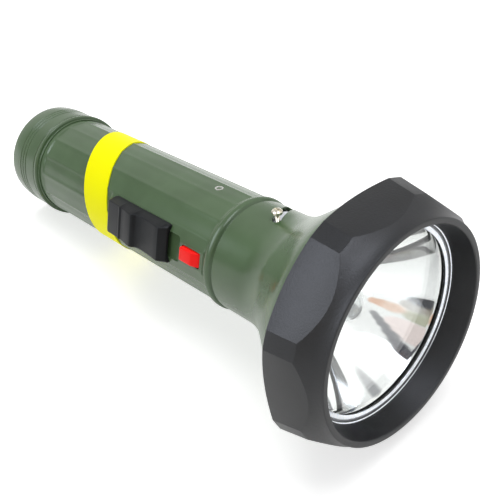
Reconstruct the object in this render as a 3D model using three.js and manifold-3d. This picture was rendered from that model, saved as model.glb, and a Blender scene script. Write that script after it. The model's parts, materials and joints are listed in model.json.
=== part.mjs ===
// A two-cell battery torch with a pressed, fluted barrel, a slide switch, a push button, a focus screw in a
// slanted slot, a screw-on tail cap and a black faceted bezel. It lies on a floor, tail cap and bezel down.
// Sizes are in millimetres. Places along the torch are counted from its tail end towards the lens, on +X.
// Angles go round the torch from straight up towards the side that carries the switch.
import * as THREE from "three";
import { mergeVertices } from "three/addons/utils/BufferGeometryUtils.js";
import Module from "manifold-3d";

const radians = Math.PI / 180;

// Shared fits.
const seatGap = 0.3;
const runningGap = 0.35;
const cutOverrun = 2;
const roundSides = 48;
const innerSides = 32;
const smallSides = 16;

// Round cells: everything round and in front of them follows from these.
const cellRadius = 16.2;
const cellCanLength = 58.5;
const cellCanRound = 1;
const cellCapLength = 1.7;
const cellCapStep = 3.7;
const cellNubRadius = 4.8;
const cellNubRise = 1.2;

// Tail spring and its plate.
const plateThickness = 0.5;
const springLength = 11.5;
const springWireRadius = 0.7;
const springTurns = 5;
const springFootStep = 3.2;
const springTipRadius = 7;
const springStepsPerTurn = 8;
const springWireSides = 5;

// Tail cap.
const capLength = 21.1;
const capStep = 1.2;
const capEndWall = 2.4;
const capEndRound = 0.8;
const capEndDraft = 0.4;
const capLipRise = 0.2;
const capLipLength = 3.6;
const capLipCrest = 1.6;
const capLipRound = 0.5;
const capMouthEdge = 0.4;
const capNeckGroove = 0.6;
const capRingCount = 3;
const capRingWidth = 0.8;
const capRingShares = [0, 1 / 3, 2 / 3, 1];
const capRingDepth = 0.4;
const capRingPitch = 1.6;
const capRingStart = 7.6;
const capMouthDepth = 3;

// Barrel.
const boreGap = 1.4;
const spigotWall = 0.6;
const barrelStep = 1.1;
const fluteCount = 16;
const fluteDepth = 0.5;
const fluteShares = [0, 0.14, 0.5, 0.86];
const fluteRunOut = 2.4;
const beadRise = 0.6;
const beadWidth = 3.2;
const beadShares = [0.02, 0.15, 0.35, 0.65, 0.85];
const frontSpigotLength = 4;
const frontSpigotWall = 0.5;

// Switch pad: two flutes are left out for a flat top with a gentle slope on either side of it. A shallow
// pocket in the flat holds the slide knob's keel.
const switchAngle = 72;
const padSlopeAngle = 19.5;
const padShoulder = 0.8;
const padRearBack = 1.4;
const padFrontBack = 3.7;
const pocketRearGap = 0.6;
const pocketHalfWidth = 4.7;
const pocketDepth = 0.85;
const pocketWall = 2.4;
const buttonRoomSheet = 0.7;

// Slide knob, as rows along it: how far along, how high above the pad, and how wide.
const knobHeight = 3.2;
const knobFootHalfWidth = 6.4;
const knobTopHalfWidth = 5.2;
const knobCorner = 0.7;
const cornerShare = 0.3;
const knobBandGap = 2.9;
const knobButtonGap = 6.9;
const knobTravel = 4.5;
const knobRowShares = [
  [0, 0.45, 0.78],
  [0.012, 0.62, 0.85],
  [0.05, 0.88, 1],
  [0.255, 0.97, 1],
  [0.268, 1.06, 1],
  [0.285, 1.06, 1],
  [0.3, 0.93, 1],
  [0.37, 0.66, 1],
  [0.44, 0.58, 1],
  [0.515, 0.62, 1],
  [0.54, 0.96, 1],
  [0.56, 1, 1],
  [0.92, 1, 1],
  [0.945, 0.9, 1],
  [1, 0.16, 0.98],
];
const keelHalfWidth = 4.3;
const keelBack = 4;
const stemLength = 6;
const stemHalfWidth = 1.5;
const clipThickness = 0.4;
const clipLength = 12.5;
const clipHalfWidth = 3;

// Push button.
const buttonBack = 5.5;
const buttonLength = 8.6;
const buttonWidth = 5.2;
const buttonHeight = 1.4;
const buttonCorner = 1;
const buttonEdgeRound = 0.6;
const buttonRidgeShare = 0.7;
const buttonFrontSlope = 14;
const buttonFlange = 0.8;
const buttonFlangeThickness = 0.4;
const leafThickness = 0.35;
const leafHalfWidth = 2.2;
const leafFrontBack = 1.7;

// Hollow rivet and the contact strip that it holds.
const eyeletBack = 16.7;
const eyeletAngle = -8.2;
const eyeletFlangeRadius = 1.5;
const eyeletTubeRadius = 1;
const eyeletHoleRadius = 0.6;
const eyeletFlangeThickness = 0.35;
const stripThickness = 0.4;
const stripHalfAngle = 8;
const stripRearLength = 41.6;
const stripFrontLength = 8.4;

// Label band, slanted round the barrel, as shares of the barrel's visible length.
const bandPlaceShare = 0.3004;
const bandSlantShare = 0.1206;
const bandWidthShare = 0.1415;
const bandSlantAngle = 120;
const bandThickness = 0.25;
const bandSides = 48;

// Head shell.
const neckWall = 0.8;
const neckLength = 13.7;
const flareGap = 4;
const flareStep = 0.7;
const flareLength = 24;
const flareShares = [
  [0, 0],
  [0.17, 0.095],
  [0.33, 0.25],
  [0.5, 0.453],
  [0.67, 0.672],
  [0.83, 0.868],
  [0.95, 0.97],
  [1, 1],
];
const shellWall = 1.1;
const shellRimLength = 8.3;
const bezelRunningGap = 0.4;

// Focus slot, screw and sleeve.
const slotWidth = 3;
const slotBack = 12.6;
const slotFrontAngle = -3;
const focusTravel = 7;
const focusTurn = 44;
const slotSteps = 12;
const screwShankRadius = 1;
const screwHeadRadius = 1.9;
const screwHeadGap = 1.7;
const screwHeadHeight = 1.7;
const screwHeadShares = [
  [0, 0.92],
  [0.12, 1],
  [0.6, 1],
  [0.88, 0.75],
  [1, 0.4],
];
const sleeveWall = 0.5;
const sleeveLength = 18.4;
const sleeveGuideLength = 9.8;
const neckFrontBack = 11.4;

// Bulb and its holder.
const holderThickness = 3.2;
const socketRadius = 6.3;
const socketWall = 1.3;
const bulbBaseRadius = 4.7;
const bulbBaseLength = 9.6;
const bulbTipRadius = 1.6;
const bulbTipShare = 0.6;
const bulbTipHeight = 1;
const bulbGlassLength = 18;
const bulbGlassRadius = 5.6;
const bulbNeckRadius = 4.2;
const contactThickness = 0.5;
const contactRadius = 4.7;

// Lens, lens ring, gasket and reflector.
const lensRadius = 33.5;
const lensThickness = 1.7;
const lensBevelShare = 0.25;
const lensRingWidth = 4.6;
const lensRingThickness = 0.6;
const gasketThickness = 0.6;
const mirrorStep = 3.8;
const mirrorDepth = 22.46;
const mirrorHoleRadius = 6.4;
const mirrorWall = 0.8;
const mirrorBackShare = 0.35;
const mirrorSteps = 8;
const flangeStep = 0.5;
const flangeThickness = 0.8;

// Bezel: eight wide facets with narrow ones between, turned away to a thin round rim.
const facetCount = 8;
const facetHalfAngle = 18.5;
const facetBlockShare = 0.5;
const lensBezelGap = 0.7;
const ledgeWidth = 2.8;
const recessDepth = 7.4;
const recessDraft = 1.6;
const rimWidth = 2;
const rimChamfer = 0.35;
const waistRise = 1.6;
const waistBack = 3.2;
const shoulderRise = 2.8;
const shoulderBack = 4.1;
const cornerRise = 1.8;
const cornerBack = 9.1;
const bezelTaper = 0.198;
const bezelRearSlope = 1.75;

// Radii that follow from the sizes above.
const barrelBore = cellRadius + boreGap;
const barrelSpigotRadius = barrelBore + spigotWall;
const barrelRadius = barrelSpigotRadius + barrelStep;
const beadRadius = barrelRadius + beadRise;
const capRadius = barrelRadius + capStep;
const capLipRadius = capRadius + capLipRise;
const springFootRadius = cellRadius - springFootStep;
const frontSpigotRadius = barrelBore + frontSpigotWall;
const neckBore = frontSpigotRadius + seatGap;
const neckRadius = neckBore + neckWall;
const sleeveBore = cellRadius + runningGap;
const sleeveInner = sleeveBore + seatGap;
const clipTop = sleeveBore + clipThickness;
const leafBottom = barrelBore - seatGap - leafThickness;
const screwHeadBase = neckRadius + screwHeadGap;
const bezelBore = lensRadius + lensBezelGap;
const shellFrontRadius = bezelBore - bezelRunningGap;
const mirrorRadius = lensRadius - mirrorStep;
const flangeRadius = lensRadius - flangeStep;
const ledgeInnerRadius = bezelBore - ledgeWidth;
const rimInnerRadius = ledgeInnerRadius + recessDraft;
const rimRadius = rimInnerRadius + rimWidth;
const bezelWaistRadius = rimRadius + waistRise;
const bezelShoulderRadius = bezelWaistRadius + shoulderRise;
const bezelCornerRadius = bezelShoulderRadius + cornerRise;

// Places that follow, from the tail end to the front rim.
const seatHeight = capEndWall + seatGap;
const barrelRear = seatHeight + plateThickness + runningGap + seatGap;
const barrelShoulder = capLength - capMouthDepth + runningGap;
const springFoot = seatHeight + plateThickness + seatGap + springWireRadius;
const springTip = springFoot + springLength;
const rearCanStart = springTip + springWireRadius + seatGap;
const rearNubPlace = rearCanStart + cellCanLength + seatGap + cellCapLength;
const frontCanStart = rearNubPlace + seatGap;
const frontNubPlace = frontCanStart + cellCanLength + seatGap + cellCapLength;
const socketStart = frontNubPlace + seatGap;
const bulbBaseStart = socketStart + contactThickness + seatGap + bulbTipHeight;
const sleeveFront = bulbBaseStart + bulbBaseLength - seatGap;
const slotFront = sleeveFront - slotBack;
const neckEnd = sleeveFront - neckFrontBack;
const barrelFront = neckEnd - neckLength;
const flareStart = neckEnd + flareGap;
const flareEnd = flareStart + flareLength;
const shellFront = flareEnd + shellRimLength;
const flangePlace = shellFront + seatGap;
const gasketPlace = flangePlace + flangeThickness + seatGap;
const lensPlace = gasketPlace + gasketThickness + seatGap;
const lensRingPlace = lensPlace + lensThickness + seatGap;
const ledgePlace = lensRingPlace + lensRingThickness + seatGap;
const rimPlace = ledgePlace + recessDepth;
const bezelWaistPlace = rimPlace - waistBack;
const bezelShoulderPlace = bezelWaistPlace - shoulderBack;
const bezelCornerPlace = bezelShoulderPlace - cornerBack;

// Places on the barrel.
const barrelLength = barrelFront - capLength;
const bandMiddle = capLength + bandPlaceShare * barrelLength;
const bandSlant = bandSlantShare * barrelLength;
const bandWidth = bandWidthShare * barrelLength;
const bandSlantAtSwitch = bandSlant * Math.cos((switchAngle - bandSlantAngle) * radians);
const bandFrontAtSwitch = bandMiddle + bandWidth / 2 + bandSlantAtSwitch;
const buttonStart = barrelFront - buttonBack - buttonLength;
const pocketEnd = buttonStart - pocketWall;
const knobStart = bandFrontAtSwitch + knobBandGap;
const knobFront = buttonStart - knobButtonGap;
const pocketStart = knobStart + keelBack - pocketRearGap;
const knobLength = knobFront - knobStart;
const stemStart = (knobStart + knobFront - stemLength) / 2;
const clipStart = (knobStart + knobFront - clipLength) / 2;
const eyeletPlace = barrelFront - eyeletBack;

// The switch pad lies between two ridges of the barrel, as high as the ridges in its middle.
const ridgeAngle = 360 / fluteCount;
const padStart = knobStart - padRearBack;
const padEnd = barrelFront - padFrontBack;
const padHeight = barrelRadius;
const padSlopeDistance = barrelRadius * Math.cos((ridgeAngle - padSlopeAngle) * radians);
const padSlopeRise = padSlopeDistance / padHeight - Math.cos(padSlopeAngle * radians);
const padCreaseAngle = Math.atan(padSlopeRise / Math.sin(padSlopeAngle * radians)) / radians;
const padCreaseAside = padHeight * Math.tan(padCreaseAngle * radians);
const pocketFloor = padHeight - pocketDepth;

const wasm = await Module();
wasm.setup();

// A point at a place along the torch, an angle round it and a distance from its axis.
function polar(place, angle, radius) {
  const turn = angle * radians;
  return new THREE.Vector3(place, -radius * Math.sin(turn), radius * Math.cos(turn));
}

// A closed solid from a geometry whose shared corners are merged.
function toSolid(geometry) {
  const bare = geometry.index ? geometry.toNonIndexed() : geometry.clone();
  bare.deleteAttribute("normal");
  bare.deleteAttribute("uv");
  const merged = mergeVertices(bare, 1e-4);
  const solid = new wasm.Manifold(
    new wasm.Mesh({
      numProp: 3,
      vertProperties: merged.attributes.position.array,
      triVerts: new Uint32Array(merged.index.array),
    }),
  );
  if (solid.volume() <= 0) throw new Error("a solid's faces point inwards");
  return solid;
}

// The geometry of a solid that has been cut or joined.
function fromSolid(solid) {
  const mesh = solid.getMesh();
  const corners = new Float32Array(mesh.numVert * 3);
  for (let i = 0; i < mesh.numVert; i++) {
    corners.set(mesh.vertProperties.subarray(i * mesh.numProp, i * mesh.numProp + 3), i * 3);
  }
  return new THREE.BufferGeometry()
    .setAttribute("position", new THREE.BufferAttribute(corners, 3))
    .setIndex(new THREE.BufferAttribute(mesh.triVerts, 1));
}

function cut(geometry, ...cutters) {
  return fromSolid(cutters.reduce((solid, cutter) => solid.subtract(toSolid(cutter)), toSolid(geometry)));
}

function join(geometry, ...others) {
  return fromSolid(others.reduce((solid, other) => solid.add(toSolid(other)), toSolid(geometry)));
}

// Turns a profile of [place, radius] points round the torch's axis: along the outside from tail to lens, and
// back along the inside. A profile that doesn't start on the axis closes on itself.
function turned(profile, sides = roundSides) {
  const points = profile.map(([place, radius]) => new THREE.Vector2(radius, place));
  if (profile[0][1] > 0) points.push(points[0].clone());
  return new THREE.LatheGeometry(points, sides).rotateZ(-Math.PI / 2);
}

// The same, round the upward line at one place, for what stands out of the torch's side.
function turnedUp(profile, place, sides = smallSides) {
  const points = profile.map(([height, radius]) => new THREE.Vector2(radius, height));
  if (profile[0][1] > 0) points.push(points[0].clone());
  return new THREE.LatheGeometry(points, sides).rotateX(Math.PI / 2).translate(place, 0, 0);
}

// A box between two places, of a half width, and between two heights above the torch's axis.
function upBox(from, to, halfWidth, bottom, top) {
  return new THREE.BoxGeometry(to - from, 2 * halfWidth, top - bottom).translate(
    (from + to) / 2,
    0,
    (bottom + top) / 2,
  );
}

// A rounded corner of a profile, as [place, radius] points about a centre.
function corner(place, radius, round, from, to, steps = 4) {
  const points = [];
  for (let i = 0; i <= steps; i++) {
    const turn = (from + ((to - from) * i) / steps) * radians;
    points.push([place + round * Math.cos(turn), radius + round * Math.sin(turn)]);
  }
  return points;
}

// A skin over rings of points, closed at both ends by a point in the middle of each end ring.
function loft(rings) {
  const count = rings[0].length;
  const corners = rings.flat();
  const faces = [];
  for (let ring = 0; ring < rings.length - 1; ring++) {
    for (let i = 0; i < count; i++) {
      const a = ring * count + i;
      const b = ring * count + ((i + 1) % count);
      faces.push(a, b, b + count, a, b + count, a + count);
    }
  }
  [0, rings.length - 1].forEach((ring, end) => {
    const middle = rings[ring].reduce((sum, point) => sum.add(point), new THREE.Vector3());
    corners.push(middle.divideScalar(count));
    for (let i = 0; i < count; i++) {
      const a = ring * count + i;
      const b = ring * count + ((i + 1) % count);
      if (end) faces.push(corners.length - 1, a, b);
      else faces.push(corners.length - 1, b, a);
    }
  });
  return new THREE.BufferGeometry().setFromPoints(corners).setIndex(faces);
}

function ringOf(place, angles, radiusAt) {
  return angles.map((angle) => polar(place, angle, radiusAt(angle)));
}

function evenAngles(count, start = 0) {
  return Array.from({ length: count }, (_, i) => start + (360 * i) / count);
}

// How far a value has gone from one end to the other, smoothed at both ends.
function ease(value, from, to) {
  return THREE.MathUtils.smoothstep(value, from, to);
}

function tailCap() {
  const endRadius = capRadius - capEndDraft - capEndRound;
  const outer = [[0, 0], ...corner(capEndRound, endRadius, capEndRound, 180, 90)];
  outer.push([capRingStart - capRingPitch / 2, capRadius]);
  for (let i = 0; i < capRingCount; i++) {
    const start = capRingStart + i * capRingPitch;
    capRingShares.forEach((share, k) => {
      const deep = k > 0 && k < capRingShares.length - 1;
      outer.push([start + capRingWidth * share, deep ? capRadius - capRingDepth : capRadius]);
    });
  }
  const lipStart = capLength - capLipLength;
  outer.push([lipStart - capNeckGroove * 2, capRadius]);
  outer.push([lipStart - capNeckGroove, capRadius - capNeckGroove]);
  outer.push([lipStart, capRadius - capNeckGroove]);
  outer.push(...corner(lipStart + capLipRound, capLipRadius - capLipRound, capLipRound, 180, 90, 3));
  outer.push([lipStart + capLipCrest, capLipRadius]);
  const mouthRadius = barrelRadius + runningGap;
  const threadRadius = barrelSpigotRadius + runningGap;
  outer.push([capLength - capMouthEdge, mouthRadius + capMouthEdge]);
  const inner = [
    [capLength, mouthRadius],
    [capLength - capMouthDepth, mouthRadius],
    [capLength - capMouthDepth, threadRadius],
    [capEndWall, threadRadius],
    [capEndWall, 0],
  ];
  return turned([...outer, ...inner]);
}

function tailPlate() {
  return turned([
    [seatHeight, 0],
    [seatHeight, barrelBore],
    [seatHeight + plateThickness, barrelBore],
    [seatHeight + plateThickness, 0],
  ]);
}

// The conical battery spring, as one unbroken wire, and the least gap between its turns.
function tailSpring() {
  const steps = springTurns * springStepsPerTurn;
  const centres = [];
  for (let i = 0; i <= steps; i++) {
    const share = i / steps;
    const radius = THREE.MathUtils.lerp(springFootRadius, springTipRadius, share);
    const place = THREE.MathUtils.lerp(springFoot, springTip, share);
    centres.push(polar(place, 360 * springTurns * share, radius));
  }
  const rings = centres.map((centre, i) => {
    const out = new THREE.Vector3(0, centre.y, centre.z).normalize();
    const ahead = centres[Math.min(i + 1, steps)].clone().sub(centres[Math.max(i - 1, 0)]).normalize();
    const side = new THREE.Vector3().crossVectors(ahead, out).normalize();
    return Array.from({ length: springWireSides }, (_, k) => {
      const turn = (2 * Math.PI * k) / springWireSides;
      return centre
        .clone()
        .addScaledVector(out, springWireRadius * Math.cos(turn))
        .addScaledVector(side, springWireRadius * Math.sin(turn));
    });
  });
  let least = Infinity;
  for (let i = 0; i <= steps; i++) {
    for (let j = i + springStepsPerTurn / 2; j <= steps; j++) {
      least = Math.min(least, centres[i].distanceTo(centres[j]) - 2 * springWireRadius);
    }
  }
  console.log("least gap between the tail spring's turns: " + least.toFixed(2) + " mm");
  return loft(rings);
}

// The barrel's outer radius at a place and an angle counted from the switch.
function barrelSurface(place, fromSwitch) {
  const aside = Math.abs(THREE.MathUtils.euclideanModulo(fromSwitch + 180, 360) - 180);
  const across = Math.abs(THREE.MathUtils.euclideanModulo(aside / ridgeAngle, 1) * 2 - 1);
  const width = ease(1 - across, 0, 2 * fluteShares[1]);
  const lengthwise = Math.min(
    ease(place, capLength, capLength + fluteRunOut),
    1 - ease(place, padEnd - fluteRunOut, padEnd),
  );
  const fluted = barrelRadius - fluteDepth * width * lengthwise;
  const beadShare = 1 - ((place - barrelFront + beadWidth / 2) / (beadWidth / 2)) ** 2;
  if (beadShare > 0) return barrelRadius + beadRise * Math.sqrt(beadShare);
  if (aside >= ridgeAngle || place < padStart || place > padEnd) return fluted;
  const flat = padHeight / Math.cos(aside * radians);
  const slope = padSlopeDistance / Math.cos((aside - padSlopeAngle) * radians);
  return Math.min(flat, slope);
}

// The barrel before its bore and openings: flutes round it, a switch pad and a rolled bead at the front.
function barrelBlank() {
  const columns = evenAngles(fluteCount).flatMap((ridge) =>
    fluteShares.map((share) => ridge + share * ridgeAngle),
  );
  const angles = [...columns, padCreaseAngle, 360 - padCreaseAngle].sort((a, b) => a - b);
  const beadStart = barrelFront - beadWidth;
  const places = [
    barrelShoulder,
    capLength,
    capLength + fluteRunOut / 2,
    capLength + fluteRunOut,
    padStart - padShoulder,
    padStart,
    (padStart + padEnd) / 2,
    padEnd - fluteRunOut,
    padEnd - fluteRunOut / 2,
    padEnd,
    ...beadShares.map((share) => beadStart + beadWidth * share),
    barrelFront,
  ];
  const rings = places.map((place) =>
    angles.map((angle) => polar(place, angle + switchAngle, barrelSurface(place, angle))),
  );
  return loft(rings);
}

function barrel() {
  const rearSpigot = turned([
    [barrelRear, 0],
    [barrelRear, barrelSpigotRadius],
    [barrelShoulder + seatGap, barrelSpigotRadius],
    [barrelShoulder + seatGap, 0],
  ]);
  const frontSpigot = turned([
    [barrelFront - beadWidth, 0],
    [barrelFront - beadWidth, frontSpigotRadius],
    [barrelFront + frontSpigotLength, frontSpigotRadius],
    [barrelFront + frontSpigotLength, 0],
  ]);
  const bore = turned([
    [barrelRear - cutOverrun, 0],
    [barrelRear - cutOverrun, barrelBore],
    [barrelFront + frontSpigotLength + cutOverrun, barrelBore],
    [barrelFront + frontSpigotLength + cutOverrun, 0],
  ]);
  const buttonEnd = buttonStart + buttonLength;
  const flangeRoom = buttonFlange + seatGap;
  const roomTop = padHeight - buttonRoomSheet;
  const stemRoomEnd = stemStart + stemLength + knobTravel + seatGap;
  const above = padHeight + cutOverrun;
  const switchCuts = [
    upBox(pocketStart, pocketEnd, pocketHalfWidth, pocketFloor, above),
    upBox(stemStart - seatGap, stemRoomEnd, stemHalfWidth + seatGap, 0, above),
    upBox(buttonStart - flangeRoom, buttonEnd + flangeRoom, buttonWidth / 2 + flangeRoom, 0, roomTop),
    upBox(buttonStart - seatGap, buttonEnd + seatGap, buttonWidth / 2 + seatGap, 0, above),
  ].map((box) => box.rotateX(switchAngle * radians));
  const rivetHole = turnedUp(
    [
      [cellRadius, 0],
      [cellRadius, eyeletTubeRadius + seatGap],
      [barrelRadius + cutOverrun, eyeletTubeRadius + seatGap],
      [barrelRadius + cutOverrun, 0],
    ],
    eyeletPlace,
  ).rotateX(eyeletAngle * radians);
  return cut(join(barrelBlank(), rearSpigot, frontSpigot), bore, ...switchCuts, rivetHole);
}

// A ring of points at one place, from one side's [aside, height] points and their mirror images.
function acrossKnob(side, place) {
  const mirrored = side.map(([aside, height]) => [-aside, height]).reverse();
  return [...side, ...mirrored].map(([aside, height]) => new THREE.Vector3(place, aside, height));
}

// The cross-section of the knob's block at one of its rows.
function knobRing([along, up, across]) {
  const foot = barrelBore;
  const top = padHeight + knobHeight * up;
  const base = knobFootHalfWidth * across;
  const half = base - (knobFootHalfWidth - knobTopHalfWidth) * Math.min(up, 1);
  const side = [
    [base, foot],
    [base, Math.min(padHeight, top - knobCorner)],
    [half, top - knobCorner],
    [half - knobCorner * cornerShare, top - knobCorner * cornerShare],
    [half - knobCorner, top],
  ];
  return acrossKnob(side, knobStart + knobLength * along);
}

// What the knob's foot leaves free: the pad's own shape, a seat gap higher.
function padRoom() {
  const wide = knobFootHalfWidth + cutOverrun;
  const top = padHeight + seatGap;
  const side = [
    [wide, 0],
    [wide, top - Math.tan(padSlopeAngle * radians) * (wide - padCreaseAside)],
    [padCreaseAside, top],
  ];
  return loft([acrossKnob(side, knobStart - cutOverrun), acrossKnob(side, knobFront + cutOverrun)]);
}

function slideKnob() {
  const body = cut(loft(knobRowShares.map(knobRing)), padRoom());
  const keelTop = padHeight + pocketDepth;
  const keel = upBox(
    knobStart + keelBack,
    knobFront - cutOverrun,
    keelHalfWidth,
    pocketFloor + seatGap,
    keelTop,
  );
  const stem = upBox(stemStart, stemStart + stemLength, stemHalfWidth, clipTop + seatGap, keelTop);
  return join(body, keel, stem);
}

function slideClip() {
  return upBox(clipStart, clipStart + clipLength, clipHalfWidth, clipTop - clipThickness, clipTop);
}

// A rectangle with rounded corners, centred on the push button, grown a little on every side.
function buttonOutline(grow) {
  const x = buttonLength / 2 + grow;
  const y = buttonWidth / 2 + grow;
  const shape = new THREE.Shape();
  shape.moveTo(-x + buttonCorner, -y);
  shape.lineTo(x - buttonCorner, -y);
  shape.quadraticCurveTo(x, -y, x, -y + buttonCorner);
  shape.lineTo(x, y - buttonCorner);
  shape.quadraticCurveTo(x, y, x - buttonCorner, y);
  shape.lineTo(-x + buttonCorner, y);
  shape.quadraticCurveTo(-x, y, -x, y - buttonCorner);
  shape.lineTo(-x, -y + buttonCorner);
  shape.quadraticCurveTo(-x, -y, -x + buttonCorner, -y);
  return shape;
}

function pushButton() {
  const flangeTop = padHeight - buttonRoomSheet - seatGap;
  const flangeBottom = flangeTop - buttonFlangeThickness;
  const top = padHeight + buttonHeight;
  const middle = buttonStart + buttonLength / 2;
  const cap = new THREE.ExtrudeGeometry(buttonOutline(-buttonEdgeRound), {
    depth: top - flangeBottom - 2 * buttonEdgeRound,
    bevelSize: buttonEdgeRound,
    bevelThickness: buttonEdgeRound,
    bevelSegments: 3,
    curveSegments: 4,
  }).translate(middle, 0, flangeBottom + buttonEdgeRound);
  const flange = new THREE.ExtrudeGeometry(buttonOutline(buttonFlange), {
    depth: buttonFlangeThickness,
    bevelEnabled: false,
    curveSegments: 4,
  }).translate(middle, 0, flangeBottom);
  const ridge = buttonStart + buttonLength * buttonRidgeShare;
  const frontSlope = upBox(0, buttonLength, buttonWidth, 0, cutOverrun)
    .rotateY(buttonFrontSlope * radians)
    .translate(ridge, 0, top);
  return cut(join(cap, flange), frontSlope);
}

function buttonLeaf() {
  const start = clipStart + clipLength + knobTravel + seatGap;
  const end = barrelFront - leafFrontBack;
  return upBox(start, end, leafHalfWidth, leafBottom, leafBottom + leafThickness);
}

function eyelet() {
  const flangeBottom = barrelRadius - fluteDepth + seatGap;
  const flangeTop = flangeBottom + eyeletFlangeThickness;
  const tubeBottom = sleeveInner;
  return turnedUp(
    [
      [tubeBottom, eyeletTubeRadius],
      [flangeBottom, eyeletTubeRadius],
      [flangeBottom, eyeletFlangeRadius],
      [flangeTop, eyeletFlangeRadius - eyeletFlangeThickness],
      [flangeTop, eyeletHoleRadius + eyeletFlangeThickness / 2],
      [flangeBottom, eyeletHoleRadius],
      [tubeBottom, eyeletHoleRadius],
    ],
    eyeletPlace,
  );
}

function contactStrip() {
  const inner = sleeveInner;
  const outer = inner + stripThickness;
  const angles = [-1, -0.5, 0, 0.5, 1].map((share) => eyeletAngle + share * stripHalfAngle);
  const ring = (place) => [
    ...angles.map((angle) => polar(place, angle, outer)),
    ...angles.toReversed().map((angle) => polar(place, angle, inner)),
  ];
  const hole = turnedUp(
    [
      [cellRadius, 0],
      [cellRadius, eyeletTubeRadius + seatGap],
      [barrelRadius, eyeletTubeRadius + seatGap],
      [barrelRadius, 0],
    ],
    eyeletPlace,
  ).rotateX(eyeletAngle * radians);
  const ends = [eyeletPlace - stripRearLength, eyeletPlace + stripFrontLength];
  return cut(loft(ends.map(ring)), hole);
}

// The label band follows a slanted plane round the barrel.
function labelBand() {
  const inner = barrelRadius + seatGap;
  const outer = inner + bandThickness;
  const faces = [];
  const corners = [];
  evenAngles(bandSides).forEach((angle) => {
    const middle = bandMiddle + bandSlant * Math.cos((angle - bandSlantAngle) * radians);
    const low = middle - bandWidth / 2;
    const high = middle + bandWidth / 2;
    corners.push(polar(low, angle, outer), polar(high, angle, outer));
    corners.push(polar(high, angle, inner), polar(low, angle, inner));
  });
  for (let i = 0; i < bandSides; i++) {
    const next = ((i + 1) % bandSides) * 4;
    for (let k = 0; k < 4; k++) {
      const a = i * 4 + k;
      const b = i * 4 + ((k + 1) % 4);
      const c = next + k;
      const d = next + ((k + 1) % 4);
      faces.push(a, c, d, a, d, b);
    }
  }
  return new THREE.BufferGeometry().setFromPoints(corners).setIndex(faces);
}

// The head shell's outside, from the straight neck through the flare to its front rim.
function shellOutside() {
  const points = [
    [barrelFront + seatGap, neckRadius - seatGap],
    [barrelFront + 2 * seatGap, neckRadius],
    [neckEnd, neckRadius],
  ];
  for (const [along, up] of flareShares) {
    const radius = THREE.MathUtils.lerp(neckRadius + flareStep, shellFrontRadius, up);
    points.push([flareStart + flareLength * along, radius]);
  }
  points.push([shellFront, shellFrontRadius]);
  return points;
}

function headShell() {
  const outside = shellOutside();
  const inside = outside
    .filter(([place]) => place > neckEnd)
    .map(([place, radius]) => [place === shellFront ? place : place + shellWall / 2, radius - shellWall])
    .reverse();
  inside.push([neckEnd + shellWall, neckBore], [barrelFront + seatGap, neckBore]);
  return cut(turned([...outside, ...inside]), focusSlot());
}

// The slanted slot in the neck: a band along a helix with round ends.
function focusSlot() {
  const low = neckBore - cutOverrun;
  const high = neckRadius + cutOverrun;
  const half = slotWidth / 2;
  const rings = [];
  for (let i = 0; i <= slotSteps; i++) {
    const place = slotFront - (focusTravel * i) / slotSteps;
    const angle = slotFrontAngle - (focusTurn * i) / slotSteps;
    rings.push([
      polar(place - half, angle, low),
      polar(place - half, angle, high),
      polar(place + half, angle, high),
      polar(place + half, angle, low),
    ]);
  }
  const ends = [0, 1].map((end) =>
    turnedUp(
      [
        [low, 0],
        [low, half],
        [high, half],
        [high, 0],
      ],
      slotFront - focusTravel * end,
    ).rotateX((slotFrontAngle - focusTurn * end) * radians),
  );
  return join(loft(rings), ...ends);
}

function focusSleeve() {
  const inner = sleeveBore;
  const outer = inner + sleeveWall;
  const guide = neckBore - runningGap;
  const sleeveRear = sleeveFront - sleeveLength;
  const guideStart = sleeveFront - sleeveGuideLength;
  return turned([
    [sleeveRear, outer],
    [guideStart - sleeveWall, outer],
    [guideStart, guide],
    [sleeveFront, guide],
    [sleeveFront, inner],
    [sleeveRear, inner],
  ]);
}

function focusScrew() {
  const foot = sleeveBore + sleeveWall + seatGap;
  const head = screwHeadShares.map(([up, wide]) => [
    screwHeadBase + screwHeadHeight * up,
    screwHeadRadius * wide,
  ]);
  return turnedUp(
    [
      [foot, 0],
      [foot, screwShankRadius],
      [screwHeadBase, screwShankRadius],
      ...head,
      [screwHeadBase + screwHeadHeight, 0],
    ],
    slotFront,
  );
}

function bulbHolder() {
  const discRadius = sleeveBore - seatGap;
  const bore = socketRadius - socketWall;
  return turned([
    [socketStart, socketRadius],
    [sleeveFront - holderThickness, socketRadius],
    [sleeveFront - holderThickness, discRadius],
    [sleeveFront, discRadius],
    [sleeveFront, bore],
    [socketStart, bore],
  ]);
}

function bulbContact() {
  return turned(
    [
      [socketStart, 0],
      [socketStart, contactRadius],
      [socketStart + contactThickness, contactRadius],
      [socketStart + contactThickness, 0],
    ],
    smallSides,
  );
}

function bulbBase() {
  return turned(
    [
      [bulbBaseStart - bulbTipHeight, 0],
      [bulbBaseStart - bulbTipHeight, bulbTipRadius * bulbTipShare],
      [bulbBaseStart - bulbTipHeight / 2, bulbTipRadius],
      [bulbBaseStart, bulbTipRadius],
      [bulbBaseStart, bulbBaseRadius - bulbTipHeight / 2],
      [bulbBaseStart + bulbTipHeight, bulbBaseRadius],
      [bulbBaseStart + bulbBaseLength, bulbBaseRadius],
      [bulbBaseStart + bulbBaseLength, 0],
    ],
    smallSides,
  );
}

function bulbGlass() {
  const start = bulbBaseStart + bulbBaseLength + seatGap;
  const globe = start + bulbGlassLength - bulbGlassRadius;
  return turned(
    [
      [start, 0],
      [start, bulbNeckRadius],
      [start + bulbNeckRadius, bulbNeckRadius],
      ...corner(globe, 0, bulbGlassRadius, 130, 0, 8),
    ],
    smallSides,
  );
}

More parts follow.
